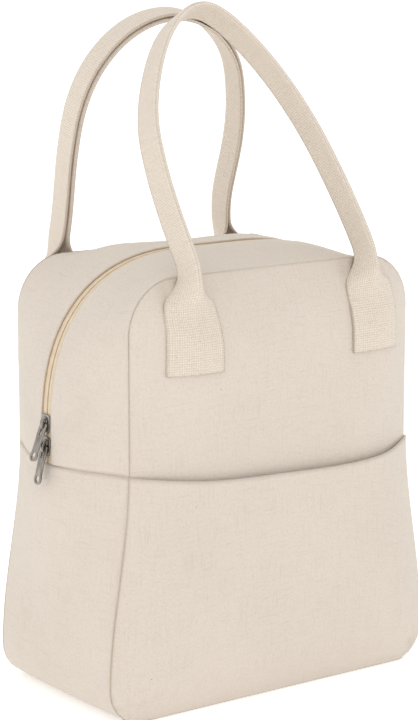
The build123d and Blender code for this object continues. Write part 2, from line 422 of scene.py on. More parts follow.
@dataclass
class Palette:
    """Every finish on the bag, built once."""

    canvas: Paint = field(init=False)
    webbing: Paint = field(init=False)
    tape: Paint = field(init=False)
    coil: Paint = field(init=False)
    thread: Paint = field(init=False)
    foam: Paint = field(init=False)
    film: Paint = field(init=False)
    metal: Paint = field(init=False)

    def __post_init__(self) -> None:
        """Build the materials."""
        self.canvas = WovenFinish("natural_canvas").material()
        self.webbing = WovenFinish(
            "cotton_webbing", colour=(0.75, 0.67, 0.575), warp_pitch=1.55 * MM, weft_pitch=1.55 * MM,
            slub_share=0.2, speck_spacing=40 * MM, weave_depth=0.8 * MM, weave_shade=0.62, sheen=0.2,
        ).material()
        self.tape = RibbedFinish(
            "zip_tape_weave", (0.74, 0.63, 0.47), (0.50, 0.34, 0.20), 0.6 * MM
        ).material()
        self.coil = RibbedFinish(
            "zip_coil_nylon", (0.82, 0.70, 0.50), (0.50, 0.39, 0.25), 0.8 * MM, Axis.ACROSS, 0.45
        ).material()
        self.thread = RibbedFinish(
            "sewing_thread", (0.80, 0.71, 0.60), (0.52, 0.43, 0.33), 0.5 * MM
        ).material()
        self.foam = FoamFinish("white_foam").material()
        self.film = FilmFinish("lining_film").material()
        self.metal = MetalFinish("nickel_plate").material()


# ---------------------------------------------------------------- meshes from grids


def bell(away: Grid, reach: float) -> Grid:
    """A smooth bump: 1 at no distance, about a third at its reach, then nothing.

    Args:
        away: Distances.
        reach: The bump's reach.

    Returns:
        Shares from 0 to 1, of the same shape.
    """
    return np.exp(-((away / reach) ** 2))


def ramp(value: Grid, length: float) -> Grid:
    """A straight rise from 0 to 1 over a length, level before and after it."""
    return np.clip(value / length, 0, 1)


def ease(share: Grid) -> Grid:
    """A rise from 0 to 1 that starts and ends gently."""
    return share * share * (3 - 2 * share)


def run_along(path: Grid) -> Grid:
    """How far each point of a path is from its start, along the path."""
    return np.pad(np.cumsum(np.linalg.norm(np.diff(path, axis=0), axis=1)), (1, 0))


def grid_normals(grid: Grid) -> Grid:
    """Unit normals of a grid of points.

    Args:
        grid: Points, rows by columns by 3.

    Returns:
        Normals of the same shape.
    """
    rows, columns = np.gradient(grid, axis=0), np.gradient(grid, axis=1)
    normal = np.cross(rows, columns)
    return normal / np.maximum(np.linalg.norm(normal, axis=2, keepdims=True), 1e-12)


def cloth_places(grid: Grid) -> Grid:
    """Places on the cloth, in metres, measured along the grid's rows and columns.

    Args:
        grid: Points, rows by columns by 3.

    Returns:
        Rows by columns by 2.
    """
    across = np.linalg.norm(np.diff(grid, axis=1), axis=2)
    along = np.linalg.norm(np.diff(grid, axis=0), axis=2)
    u = np.pad(np.cumsum(across, axis=1), ((0, 0), (1, 0)))
    v = np.pad(np.cumsum(along, axis=0), ((1, 0), (0, 0)))
    u = u - u[:, u.shape[1] // 2:u.shape[1] // 2 + 1]
    return np.dstack([u, v])


def new_object(name: str, points: Grid, faces: list, uvs: Grid, crease: Grid, paint: Paint) -> Piece:
    """Make a smooth mesh object with cloth places and seam shading.

    Args:
        name: The object's name.
        points: Vertices, n by 3, in metres.
        faces: Lists of vertex indices.
        uvs: A place on the cloth for each vertex.
        crease: How much of a seam's shade each vertex has.
        paint: The object's material.

    Returns:
        The new object, linked to the scene.
    """
    mesh = bpy.data.meshes.new(name)
    mesh.from_pydata(points.tolist(), [], faces)
    layer = mesh.uv_layers.new(name="cloth")
    corners = np.empty(len(mesh.loops), dtype=np.int32)
    mesh.loops.foreach_get("vertex_index", corners)
    layer.data.foreach_set("uv", np.ascontiguousarray(uvs[corners], dtype=np.float32).ravel())
    shade = mesh.attributes.new("crease", "FLOAT", "POINT")
    shade.data.foreach_set("value", np.ascontiguousarray(crease, dtype=np.float32).ravel())
    mesh.shade_smooth()
    mesh.materials.append(paint)
    mesh.update()
    made = bpy.data.objects.new(name, mesh)
    bpy.context.scene.collection.objects.link(made)
    return made


def quads(rows: int, columns: int, start: int = 0, flip: bool = False, wrap: bool = False) -> list:
    """Faces of a grid of vertices.

    Args:
        rows: Rows of vertices.
        columns: Vertices in a row.
        start: The first vertex's index.
        flip: Whether the faces turn the other way.
        wrap: Whether each row is a closed ring.

    Returns:
        Lists of four vertex indices.
    """
    faces = []
    last = columns if wrap else columns - 1
    for row in range(rows - 1):
        for column in range(last):
            after = (column + 1) % columns
            a, b = start + row * columns + column, start + row * columns + after
            face = [a, b, b + columns, a + columns]
            faces.append(face[::-1] if flip else face)
    return faces


def shell_object(name: str, outer: Grid, inner: Grid, crease: Grid, paint: Paint) -> Piece:
    """Make a closed sheet from its outer and inner faces.

    Args:
        name: The object's name.
        outer: The outer face's grid.
        inner: The inner face's grid, of the same size.
        crease: Seam shade for each point of the outer face.
        paint: The object's material.

    Returns:
        The new object, with its faces turned outwards.
    """
    rows, columns = outer.shape[:2]
    count = rows * columns
    middle = outer.reshape(-1, 3) - inner.reshape(-1, 3)
    flip = float((grid_normals(outer).reshape(-1, 3) * middle).sum()) > 0
    faces = quads(rows, columns, 0, flip) + quads(rows, columns, count, not flip)
    rim = [(0, c) for c in range(columns)] + [(r, columns - 1) for r in range(1, rows)]
    rim += [(rows - 1, c) for c in range(columns - 2, -1, -1)] + [(r, 0) for r in range(rows - 2, 0, -1)]
    ring = [r * columns + c for r, c in rim]
    for a, b in zip(ring, ring[1:] + ring[:1]):
        face = [a, a + count, b + count, b]
        faces.append(face[::-1] if flip else face)
    places = cloth_places(outer).reshape(-1, 2)
    return new_object(
        name, np.vstack([outer.reshape(-1, 3), inner.reshape(-1, 3)]), faces,
        np.vstack([places, places]), np.concatenate([crease.ravel(), crease.ravel()]), paint,
    )


def tube_object(name: str, path: Grid, radius: float, paint: Paint, sides: int) -> Piece:
    """Make a round thread or wire along a path.

    Args:
        name: The object's name.
        path: Points, n by 3.
        radius: The wire's radius.
        paint: The object's material.
        sides: Points round the wire.

    Returns:
        The new object.
    """
    points, faces, places = tube_parts(path, radius, sides)
    return new_object(name, points, faces, places, np.zeros(len(points)), paint)


def tube_parts(path: Grid, radius: float, sides: int) -> tuple:
    """Vertices and faces of a capped round tube.

    Args:
        path: Points, n by 3.
        radius: The tube's radius.
        sides: Points round the tube.

    Returns:
        Vertices, faces and cloth places.
    """
    tangent = np.gradient(path, axis=0)
    tangent /= np.maximum(np.linalg.norm(tangent, axis=1, keepdims=True), 1e-12)
    helper = np.where(np.abs(tangent[:, :1]) > 0.8, np.array([[0.0, 0, 1]]), np.array([[1.0, 0, 0]]))
    first = np.cross(tangent, helper)
    first /= np.linalg.norm(first, axis=1, keepdims=True)
    second = np.cross(tangent, first)
    turns = np.linspace(0, 2 * pi, sides, endpoint=False)
    ring = first[:, None] * np.cos(turns)[None, :, None] + second[:, None] * np.sin(turns)[None, :, None]
    points = (path[:, None] + radius * ring).reshape(-1, 3)
    count = len(path)
    faces = quads(count, sides, wrap=True, flip=True)
    faces.append(list(range(sides)))
    faces.append([(count - 1) * sides + k for k in range(sides - 1, -1, -1)])
    length = run_along(path)
    places = np.dstack([np.repeat(length[:, None], sides, 1), np.tile(turns * radius, (count, 1))])
    return points, faces, places.reshape(-1, 2)


def stitches(
    name: str, rows: list, paint: Paint, length: float = 2.4 * MM, gap: float = 0.9 * MM,
    radius: float = 0.2 * MM, sides: int = 4,
) -> Piece:
    """Sew rows of short threads, all as one object.

    Args:
        name: The object's name.
        rows: The line that each row follows.
        paint: The thread's material.
        length: One stitch's length.
        gap: The space between two stitches.
        radius: The thread's radius.
        sides: Points round the thread.

    Returns:
        The new object.
    """
    points, faces, places, start = [], [], [], 0
    for row in rows:
        run = run_along(row)
        for begin in np.arange(0, run[-1] - length, length + gap):
            stops = np.linspace(begin, begin + length, 4)
            path = np.column_stack([np.interp(stops, run, row[:, k]) for k in range(3)])
            some, around, where = tube_parts(path, radius, sides)
            points.append(some)
            places.append(where)
            faces += [[start + index for index in face] for face in around]
            start += len(some)
    return new_object(name, np.vstack(points), faces, np.vstack(places), np.zeros(start), paint)


def smooth_path(points: Sequence[tuple], count: int) -> Grid:
    """Even points on a smooth curve through a few chosen ones.

    Args:
        points: The chosen points.
        count: How many even points to give.

    Returns:
        Points, count by as many numbers as a chosen point has.
    """
    given = np.array(points, dtype=float)
    ends = np.vstack([2 * given[0] - given[1], given, 2 * given[-1] - given[-2]])
    steps = np.linspace(0, 1, 24, endpoint=False)[:, None]
    spans = []
    for a, b, c, d in zip(ends, ends[1:], ends[2:], ends[3:]):
        spans.append(
            0.5 * (2 * b + (c - a) * steps + (2 * a - 5 * b + 4 * c - d) * steps**2
                   + (3 * b - a - 3 * c + d) * steps**3)
        )
    dense = np.vstack(spans + [given[-1:]])
    length = run_along(dense)
    even = np.linspace(0, length[-1], count)
    return np.column_stack([np.interp(even, length, dense[:, k]) for k in range(given.shape[1])])


@dataclass(frozen=True)
class Waves:
    """A smooth, seeded unevenness."""

    height: float
    count: int
    shortest: float
    longest: float
    seed: int

    def over(self, points: Grid, shift: int = 0) -> Grid:
        """The unevenness at some places.

        Args:
            points: Places, any shape ending in 3.
            shift: Added to the seed, so that two like pieces differ.

        Returns:
            One number for each point, about -height to height.
        """
        random = np.random.default_rng(self.seed + shift)
        total = np.zeros(points.shape[:-1])
        for _ in range(self.count):
            way = random.normal(size=3)
            way /= np.linalg.norm(way)
            size = 2 * pi / random.uniform(self.shortest, self.longest)
            total += np.sin(points @ way * size + random.uniform(0, 2 * pi))
        return self.height * total / np.sqrt(self.count / 2) / 1.6


@dataclass(frozen=True)
class Dent:
    """A soft hollow in cloth."""

    depth: float
    reach: float

    def at(self, away: Grid) -> Grid:
        """How deep the hollow is at some distances from its middle."""
        return self.depth * bell(away, self.reach)


@dataclass(frozen=True)
class Crease(Dent):
    """A hollow along a short straight line on a panel, on its left and its right."""

    start: tuple
    end: tuple

    def across(self, x: Grid, z: Grid, sign: int) -> Grid:
        """How deep the crease is at some places.

        Args:
            x: Places across.
            z: Heights.
            sign: -1 for the left crease, 1 for the right one.

        Returns:
            Depths of the same shape.
        """
        way_x, way_z = sign * (self.end[0] - self.start[0]), self.end[1] - self.start[1]
        from_x, from_z = x - sign * self.start[0], z - self.start[1]
        share = np.clip((from_x * way_x + from_z * way_z) / (way_x**2 + way_z**2), 0, 1)
        return self.at(np.hypot(from_x - share * way_x, from_z - share * way_z))


# ---------------------------------------------------------------- the bag's form


@dataclass(frozen=True)
class Slice:
    """The bag's outline on one vertical plane that faces the front."""

    base: float
    waist: float
    radius: float
    top: float


@dataclass
class BagForm:
    """The bag's surface: slices, swollen panels and the soft unevenness of real cloth.

    The sizes come from the frame's boxes; the rest are the shape's own proportions.
    """

    waist: float = 164 * MM
    corner: float = 24 * MM
    panel_corner: float = 36 * MM
    shoulder: float = 108 * MM
    crest_slot: float = 5.3 * MM
    pillow_reach: float = 54 * MM
    pillow_power: float = 2.1
    shoulder_fullness: float = 5.0 * MM
    seam_hold: float = 4.0 * MM
    seam_sink: float = 0.35 * MM
    corner_steps: int = 10
    lower_steps: int = 44
    upper_steps: int = 26
    shoulder_steps: int = 20
    row_steps: int = 110
    middle_height: float = 150 * MM
    strap_place: tuple = (73 * MM, 284 * MM)
    panel_waves: Waves = Waves(1.1 * MM, 7, 60 * MM, 130 * MM, 11)
    panel_puckers: Waves = Waves(0.35 * MM, 9, 14 * MM, 30 * MM, 23)
    panel_strap: Dent = Dent(3.0 * MM, 22 * MM)
    corner_fan: Dent = Dent(0.8 * MM, 26 * MM)
    corner_place: tuple = (108 * MM, 22 * MM)
    fan_origin: tuple = (120 * MM, 8 * MM)
    fan_folds: int = 9
    base_tuck: Crease = Crease(1.5 * MM, 3.2 * MM, (127 * MM, 11 * MM), (103 * MM, 25 * MM))
    strap_tuck: Crease = Crease(1.2 * MM, 3.5 * MM, (96 * MM, 283 * MM), (110 * MM, 268 * MM))
    gusset_waves: Waves = Waves(1.2 * MM, 7, 55 * MM, 120 * MM, 41)
    gusset_puckers: Waves = Waves(0.3 * MM, 9, 14 * MM, 30 * MM, 43)
    gusset_strap: Dent = Dent(2.2 * MM, 18 * MM)
    gusset_strap_inset: float = 8 * MM
    waist_pinch: Dent = Dent(1.6 * MM, 13 * MM)
    waist_seam: Dent = Dent(0.4 * MM, 1.2 * MM)
    zip_seam: Dent = Dent(0.5 * MM, 0.9 * MM)
    seam_width: float = 1.5 * MM
    shade_width: float = 0.75 * MM
    seam: Slice = field(init=False)
    crest: Slice = field(init=False)
    seam_y: float = field(init=False)
    bulge: float = field(init=False)

    def __post_init__(self) -> None:
        """Read the driving sizes from the frame."""
        low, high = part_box("front_panel_lower")
        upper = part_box("front_panel_upper")[1]
        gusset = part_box("front_zip_gusset")[1]
        self.seam_y = -high[1]
        self.bulge = high[1] - low[1]
        self.seam = Slice(high[0], upper[0], self.panel_corner, upper[2])
        self.crest = Slice(high[0] + 2 * MM, gusset[0] + 0.1 * MM, self.shoulder, gusset[2])

    def column(self, shape: Slice, inset: float) -> Grid:
        """The right side of a slice, from the end of its base to the start of its top.

        Args:
            shape: The slice.
            inset: How far it is drawn in.

        Returns:
            Points (x, z).
        """
        corner = max(self.corner - inset, 3 * MM)
        radius = max(shape.radius - inset, 3 * MM)
        base, waist, top = shape.base - inset, shape.waist - inset, shape.top - inset
        turn = np.linspace(-pi / 2, 0, self.corner_steps + 1)
        low = np.column_stack([base - corner + corner * np.cos(turn), inset + corner + corner * np.sin(turn)])
        rise = np.linspace(0, 1, self.lower_steps + 1)[1:]
        height = inset + corner + (self.waist - inset - corner) * rise
        side = np.column_stack([base + (waist - base) * ease(rise), height])
        rise = np.linspace(0, 1, self.upper_steps + 1)[1:]
        upper = np.column_stack([np.full_like(rise, waist), self.waist + (top - radius - self.waist) * rise])
        turn = np.linspace(0, pi / 2, self.shoulder_steps + 1)[1:]
        fullness = self.shoulder_fullness if radius > 2 * self.panel_corner else 0.0
        reach = radius + fullness * np.sin(2 * turn) ** 2
        arc = np.column_stack([waist - radius + reach * np.cos(turn), top - radius + reach * np.sin(turn)])
        return np.vstack([low, side, upper, arc])

    @property
    def shares(self) -> Grid:
        """Places across the bag, -1 to 1, closer together towards the seams."""
        even = np.linspace(-1, 1, self.row_steps + 1)
        return 0.5 * even + 0.5 * np.sin(even * pi / 2)

    @property
    def waist_index(self) -> int:
        """The column's point at the height of the side seam."""
        return self.corner_steps + self.lower_steps

    def half_ring(self, shape: Slice, inset: float, upper: bool) -> Grid:
        """A slice's outline below or above the side seams, from -X to +X.

        Args:
            shape: The slice.
            inset: How far it is drawn in.
            upper: Whether it is the part over the top.

        Returns:
            Points (x, z).
        """
        column = self.column(shape, inset)
        part = column[self.waist_index:] if upper else column[:self.waist_index + 1][::-1]
        end = part[-1]
        across = end[0] * self.shares
        flat = np.column_stack([across, np.full_like(across, end[1])])
        left = part * (-1, 1)
        return np.vstack([left[:-1], flat, part[::-1][1:]])

    def gusset(self, inset: float, upper: bool, depths: Grid) -> Grid:
        """A stretch of the gusset's surface.

        Args:
            inset: The depth under the bag's skin.
            upper: Whether it is the part over the top.
            depths: The places across it, in Y.

        Returns:
            A grid of points, one row for each depth.
        """
        seam, crest = self.half_ring(self.seam, inset, upper), self.half_ring(self.crest, inset, upper)
        share = 1 - (depths / self.seam_y) ** 2
        flat = seam[None] + (crest - seam)[None] * share[:, None, None]
        y = np.repeat(depths[:, None], len(seam), 1)
        return np.dstack([flat[..., 0], y, flat[..., 1]])

    def seam_distance(self, x: Grid, z: Grid, inset: float) -> Grid:
        """How far places on a panel are from its seam.

        Args:
            x: Places across the panel.
            z: Heights on the panel.
            inset: The depth of the layer.

        Returns:
            Distances of the same shape.
        """
        line = np.vstack([self.half_ring(self.seam, inset, False), self.half_ring(self.seam, inset, True)])
        flat = np.column_stack([x.ravel(), z.ravel()])
        best = np.full(len(flat), 1.0)
        for a, b in zip(line[::2], line[2::2]):
            way = b - a
            size = float(way @ way)
            if size > (30 * MM) ** 2 or size < 1e-14:
                continue
            share = np.clip(((flat - a) @ way) / size, 0, 1)
            best = np.minimum(best, np.linalg.norm(flat - a - share[:, None] * way, axis=1))
        return best.reshape(x.shape)

    def panel(self, side: Side, inset: float, bulge: float) -> Grid:
        """The surface of a whole swollen panel.

        Args:
            side: The front or the back.
            inset: The depth under the bag's skin.
            bulge: How far the middle swells out of the seam.

        Returns:
            A grid of points, rows upwards and columns across.
        """
        column = self.column(self.seam, inset)
        x = column[:, :1] * self.shares[None]
        z = np.repeat(column[:, 1:], self.row_steps + 1, 1)
        return self.swell(side, x, z, inset, bulge)

    def swell(self, side: Side, x: Grid, z: Grid, inset: float, bulge: float) -> Grid:
        """Lift places on a panel out of its seam.

        Args:
            side: The front or the back.
            x: Places across.
            z: Heights.
            inset: The depth of the layer.
            bulge: The lift in the middle.

        Returns:
            A grid of points.
        """
        away = self.seam_distance(x, z, inset)
        rise = 1 - np.clip(1 - away / self.pillow_reach, 0, 1) ** self.pillow_power
        lift = np.maximum(bulge * rise - inset * np.clip(away / (8 * MM), 0, 1), 0)
        return np.dstack([x, side.value * (self.seam_y + lift), z])

    def panel_softness(self, side: Side, grid: Grid) -> Grid:
        """How the cloth of a panel strays from its ideal surface.

        Args:
            side: The front or the back.
            grid: The outer surface.

        Returns:
            Shifts, in metres, of the same shape.
        """
        x, z = grid[..., 0], grid[..., 2]
        away = self.seam_distance(x, z, 0.0)
        push = self.panel_waves.over(grid, side.value) * ramp(away, 25 * MM)
        push += self.panel_puckers.over(grid, side.value) * np.exp(-away / (14 * MM))
        for sign in (-1, 1):
            corner = np.hypot(x - sign * self.corner_place[0], z - self.corner_place[1])
            turn = np.arctan2(z - self.fan_origin[1], sign * self.fan_origin[0] - x)
            push += np.sin(turn * sign * self.fan_folds) * self.corner_fan.at(corner)
            strap = np.hypot(x - sign * self.strap_place[0], (z - self.strap_place[1]) * 0.8)
            push -= self.panel_strap.at(strap)
            push -= self.base_tuck.across(x, z, sign) + self.strap_tuck.across(x, z, sign)
        push *= ramp(away, self.seam_hold)
        push -= self.seam_sink * bell(away, self.seam_width)
        shift = np.zeros_like(grid)
        shift[..., 1] = side.value * push
        return shift

    def gusset_softness(self, grid: Grid, upper: bool) -> Grid:
        """How the cloth of the gusset strays from its ideal surface.

        Args:
            grid: The outer surface.
            upper: Whether it is the part over the top.

        Returns:
            Shifts, in metres, of the same shape.
        """
        normal = grid_normals(grid)
        middle = grid - np.array([0, 0, self.middle_height])
        normal *= np.sign((normal * middle * (1, 0, 1)).sum(axis=2, keepdims=True))
        y, z = grid[..., 1], grid[..., 2]
        away = self.seam_y - np.abs(y)
        standing = ramp(z - 6 * MM, 20 * MM)
        free = ramp(away, 20 * MM) * standing
        pinch = self.waist_pinch.at(z - self.waist) * ramp(away, 12 * MM)
        if upper:
            free *= ramp(np.abs(y) - self.crest_slot, 14 * MM)
            pinch *= ramp(np.abs(y) - 4 * MM, 22 * MM)
        push = self.gusset_waves.over(grid) * free - pinch - self.waist_seam.at(z - self.waist)
        push += self.gusset_puckers.over(grid) * np.exp(-away / (12 * MM)) * standing
        if upper:
            push -= self.zip_seam.at(np.abs(y) - self.crest_slot)
        inward = (np.abs(y) - self.seam_y + self.gusset_strap_inset) * 0.7
        for sign in (-1, 1):
            strap = np.hypot(grid[..., 0] - sign * self.strap_place[0], inward)
            push -= self.gusset_strap.at(strap) * (z > 200 * MM)
        push *= ramp(away, self.seam_hold)
        push -= self.seam_sink * bell(away, self.seam_width) * standing
        return normal * push[..., None]

    def seam_shade(self, away: Grid, height: Grid) -> Grid:
        """Shade that gathers in a seam, deeper towards the base.

        Args:
            away: Distances from the seam.
            height: Heights above the ground.

        Returns:
            Shares from 0 to 1.
        """
        depth = np.clip(0.42 + 1.1 * np.clip(1 - height / (140 * MM), 0, 1), 0, 1)
        return depth * bell(away, self.shade_width)


@dataclass
class Bending:
    """Heights where cloth that crosses the side seams would start and stop following its flap, which nothing
    reads; place() bakes pieces and hides CAD nodes.
    """

    low: float = 165 * MM
    high: float = 216 * MM

    def place(self, piece: Piece, side: Side, nodes: Sequence[str]) -> None:
        """Bake a piece's transform, in place of CAD nodes, which it hides.

        Args:
            piece: The piece.
            side: The flap's side; not used.
            nodes: The nodes that it stands for.
        """
        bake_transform(piece)
        if nodes:
            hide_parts(*nodes)


# ---------------------------------------------------------------- the shell


@dataclass
class Shell:
    """The wall of the bag: canvas, foam and lining of both panels and the gusset."""

    form: BagForm
    palette: Palette
    bending: Bending
    gusset_rows: int = 44
    strap_shadows: tuple = (-91 * MM, 56 * MM)
    inner_slot: float = 12 * MM

    def paint(self, layer: Layer) -> Paint:
        """The material of a layer."""
        palette = self.palette
        return {Layer.CANVAS: palette.canvas, Layer.FOAM: palette.foam, Layer.LINING: palette.film}[layer]

    def thin(self, grid: Grid, layer: Layer) -> Grid:
        """Keep every second row and column of the layers that hardly show."""
        return grid if layer is Layer.CANVAS else grid[::2, ::2]

    def panel(self, side: Side, layer: Layer) -> Piece:
        """Build one layer of a panel.

        Args:
            side: The front or the back.
            layer: The layer.

        Returns:
            The new piece.
        """
        form, word = self.form, layer.panel_word
        skin = form.panel(side, 0.0, form.bulge)
        soft = form.panel_softness(side, skin)
        outer, inner = (self.thin(form.panel(side, depth, form.bulge) + soft, layer) for depth in layer.value)
        x, z = skin[..., 0], skin[..., 2]
        shade = form.seam_shade(form.seam_distance(x, z, 0.0), z)
        for strap in self.strap_shadows:
            shade = shade + 0.30 * bell(x - strap, 4 * MM) * bell(z - 280 * MM, 9 * MM)
        shade = self.thin(shade, layer)
        name = f"{side.word}_{layer.name.lower()}_panel"
        piece = shell_object(name, outer, inner, shade, self.paint(layer))
        self.bending.place(piece, side, [f"{side.word}_{word}_lower", f"{side.word}_{word}_upper"])
        return piece

    def gusset(self, name: str, upper: bool, depths: Grid, layer: Layer) -> tuple:
        """Build one layer of a stretch of gusset.

        Args:
            name: The piece's name.
            upper: Whether it is the part over the top.
            depths: The places across it, in Y.
            layer: The layer.

        Returns:
            The new piece and its outer surface.
        """
        form = self.form
        skin = form.gusset(0.0, upper, depths)
        soft = form.gusset_softness(skin, upper)
        outer, inner = (self.thin(form.gusset(depth, upper, depths) + soft, layer) for depth in layer.value)
        away = np.minimum(form.seam_y - np.abs(skin[..., 1]), np.abs(skin[..., 2] - form.waist))
        shade = form.seam_shade(away, skin[..., 2])
        if upper and layer is Layer.CANVAS:
            shade = np.maximum(shade, 0.45 * bell(np.abs(skin[..., 1]) - form.crest_slot, 0.4 * MM))
        return shell_object(name, outer, inner, self.thin(shade, layer), self.paint(layer)), outer

    def base_gusset(self, layer: Layer) -> None:
        """Build one layer of the gusset under the side seams.

        Args:
            layer: The layer.
        """
        even = np.linspace(-1, 1, 2 * self.gusset_rows + 1)
        depths = self.form.seam_y * (0.6 * even + 0.4 * np.sin(even * pi / 2))
        piece, outer = self.gusset(f"base_{layer.name.lower()}_gusset", False, depths, layer)
        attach(piece, "body")
        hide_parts(f"base_gusset{layer.gusset_ending}")

    def zip_gusset(self, side: Side, layer: Layer) -> None:
        """Build one layer of the gusset between a panel and the zip.

        Args:
            side: The front or the back.
            layer: The layer.
        """
        form = self.form
        edge = form.crest_slot if layer is Layer.CANVAS else self.inner_slot
        even = np.linspace(0, 1, self.gusset_rows + 1)
        share = 0.6 * even + 0.2 * (1 - np.cos(pi * even))
        depths = side.value * (form.seam_y + (edge - form.seam_y) * share)
        piece, outer = self.gusset(f"{side.word}_{layer.name.lower()}_zip_gusset", True, depths, layer)
        self.bending.place(piece, side, [f"{side.word}_zip_gusset{layer.gusset_ending}"])

    def build(self) -> None:
        """Build every layer of the wall."""
        for layer in Layer:
            self.base_gusset(layer)
            for side in Side:
                self.panel(side, layer)
                self.zip_gusset(side, layer)
            log.info("wall layer %s built", layer.name.lower())


# ---------------------------------------------------------------- the pocket


@dataclass
class Pocket:
    """The front pocket: a doubled skin over the lower panel, with a sagging mouth."""

    form: BagForm
    palette: Palette
    room: float = 3.6 * MM
    thickness: float = 1.5 * MM
    gape_waves: Waves = Waves(0.25, 5, 70 * MM, 120 * MM, 61)
    edge_points: tuple = (
        (-1.0, 164.0), (-0.6, 159.5), (-0.2, 157.0), (0.3, 155.0), (0.7, 157.5), (1.0, 161.5),
    )

    def edge_height(self, share: Grid) -> Grid:
        """Height of the mouth's edge.

        Args:
            share: Place across the pocket, -1 to 1.

        Returns:
            Heights in metres.
        """
        path = smooth_path(self.edge_points, 200)
        return np.interp(share, path[:, 0], path[:, 1]) * MM

    def surface(self) -> Grid:
        """The pocket's inner face.

        Returns:
            A grid of points.
        """
        form = self.form
        column = form.column(form.seam, 0.0)[:form.waist_index + 1]
        share = form.shares
        z = column[:, 1:] * (self.edge_height(share) / form.waist)[None]
        x = np.interp(z, column[:, 1], column[:, 0]) * share[None]
        x[0] = column[0, 0] * share
        base = form.swell(Side.FRONT, x, z, 0.0, form.bulge)
        base += form.panel_softness(Side.FRONT, base)
        away = form.seam_distance(x, z, 0.0)
        up = ramp(z, form.waist * 0.8)
        gape = self.room * (1 - np.clip(1 - away / (45 * MM), 0, 1) ** 2) * (0.35 + 0.65 * up)
        gape *= 1 + self.gape_waves.over(base)
        base[..., 1] -= 0.25 * MM + gape
        return base

    def build(self) -> Piece:
        """Build the pocket.

        Returns:
            The new piece.
        """
        inner = self.surface()
        normal = grid_normals(inner)
        normal *= np.sign(-normal[..., 1:2])
        outer = inner + self.thickness * normal
        outer[..., 2] = np.maximum(outer[..., 2], 0.2 * MM)
        away = self.form.seam_distance(inner[..., 0], inner[..., 2], 0.0)
        shade = self.form.seam_shade(away, inner[..., 2])
        shade[-1] = 0.2
        piece = shell_object("front_pocket_canvas", outer, inner, shade, self.palette.canvas)
        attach(piece, "body")
        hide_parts("front_pocket")
        log.info("pocket built")
        return piece


# ---------------------------------------------------------------- the zip


@dataclass
class Zip:
    """The zip: two tapes that meet on the crest, and the coil under them."""

    form: BagForm
    palette: Palette
    bending: Bending
    depth: float = 1.5 * MM
    thickness: float = 0.5 * MM
    reach: float = 10.5 * MM
    meeting: float = 0.3 * MM
    ridge: float = 0.25 * MM
    ridge_place: float = 2.3 * MM
    fall: float = 21 * MM
    coil_radius: float = 0.34 * MM
    coil_pitch: float = 1.5 * MM
    coil_middle: float = 1.55 * MM
    coil_size: tuple = (1.15 * MM, 0.75 * MM)

    def tape(self, side: Side) -> Piece:
        """Build one tape.

        Args:
            side: The front or the back.

        Returns:
            The new piece.
        """
        form = self.form
        places = np.linspace(self.meeting, self.reach, 24)
        line = form.half_ring(form.crest, 0.0, True)
        rows = {}
        for face, depth in (("outer", self.depth), ("inner", self.depth + self.thickness)):
            grid = []
            for place in places:
                lift = self.ridge * bell(place - self.ridge_place, 1.3 * MM)
                fall = self.fall * (place / form.seam_y) ** 2
                level = form.half_ring(form.crest, depth - lift + fall, True)
                y = np.full(len(line), side.value * place)
                grid.append(np.column_stack([level[:, 0], y, level[:, 1]]))
            rows[face] = np.array(grid)
        # Painted shade: a dark line where the two tapes meet, and a darker band under the canvas's folded
        # edge at the slot.
        middle = 0.5 * bell(places - self.meeting, 0.45 * MM)
        edge = 0.95 * bell(np.maximum(form.crest_slot - places, 0), 0.55 * MM)
        shade = np.repeat(np.maximum(middle, edge)[:, None], len(line), 1)
        name = f"{side.word}_zip_tape_cloth"
        piece = shell_object(name, rows["outer"], rows["inner"], shade, self.palette.tape)
        self.bending.place(piece, side, [f"{side.word}_zip_tape"])
        return piece

    def coil(self, side: Side) -> Piece:
        """Build one half of the coil.

        Args:
            side: The front or the back.

        Returns:
            The new piece.
        """
        form = self.form
        deep = self.depth + self.thickness + self.coil_size[1] + self.coil_radius
        line = form.half_ring(form.crest, deep, True)
        length = run_along(line)
        turns = int(length[-1] / self.coil_pitch)
        place = np.linspace(2 * MM, length[-1] - 2 * MM, turns * 8)
        x, z = (np.interp(place, length, line[:, k]) for k in (0, 1))
        out = np.column_stack([np.gradient(z), -np.gradient(x)])
        out /= np.linalg.norm(out, axis=1, keepdims=True)
        out *= np.sign(out[:, :1] * x[:, None] + out[:, 1:] * (z[:, None] - form.middle_height))
        angle = 2 * pi * place / self.coil_pitch
        lift = self.coil_size[1] * np.sin(angle)
        y = side.value * (self.coil_middle + self.coil_size[0] * np.cos(angle))
        path = np.column_stack([x + out[:, 0] * lift, y, z + out[:, 1] * lift])
        piece = tube_object(f"{side.word}_zip_coil_turns", path, self.coil_radius, self.palette.coil, 4)
        self.bending.place(piece, side, [f"{side.word}_zip_coil"])
        return piece

    def build(self) -> None:
        """Build both halves of the zip."""
        for side in Side:
            self.tape(side)
            self.coil(side)
        log.info("zip built")


# ---------------------------------------------------------------- sliders and pulls


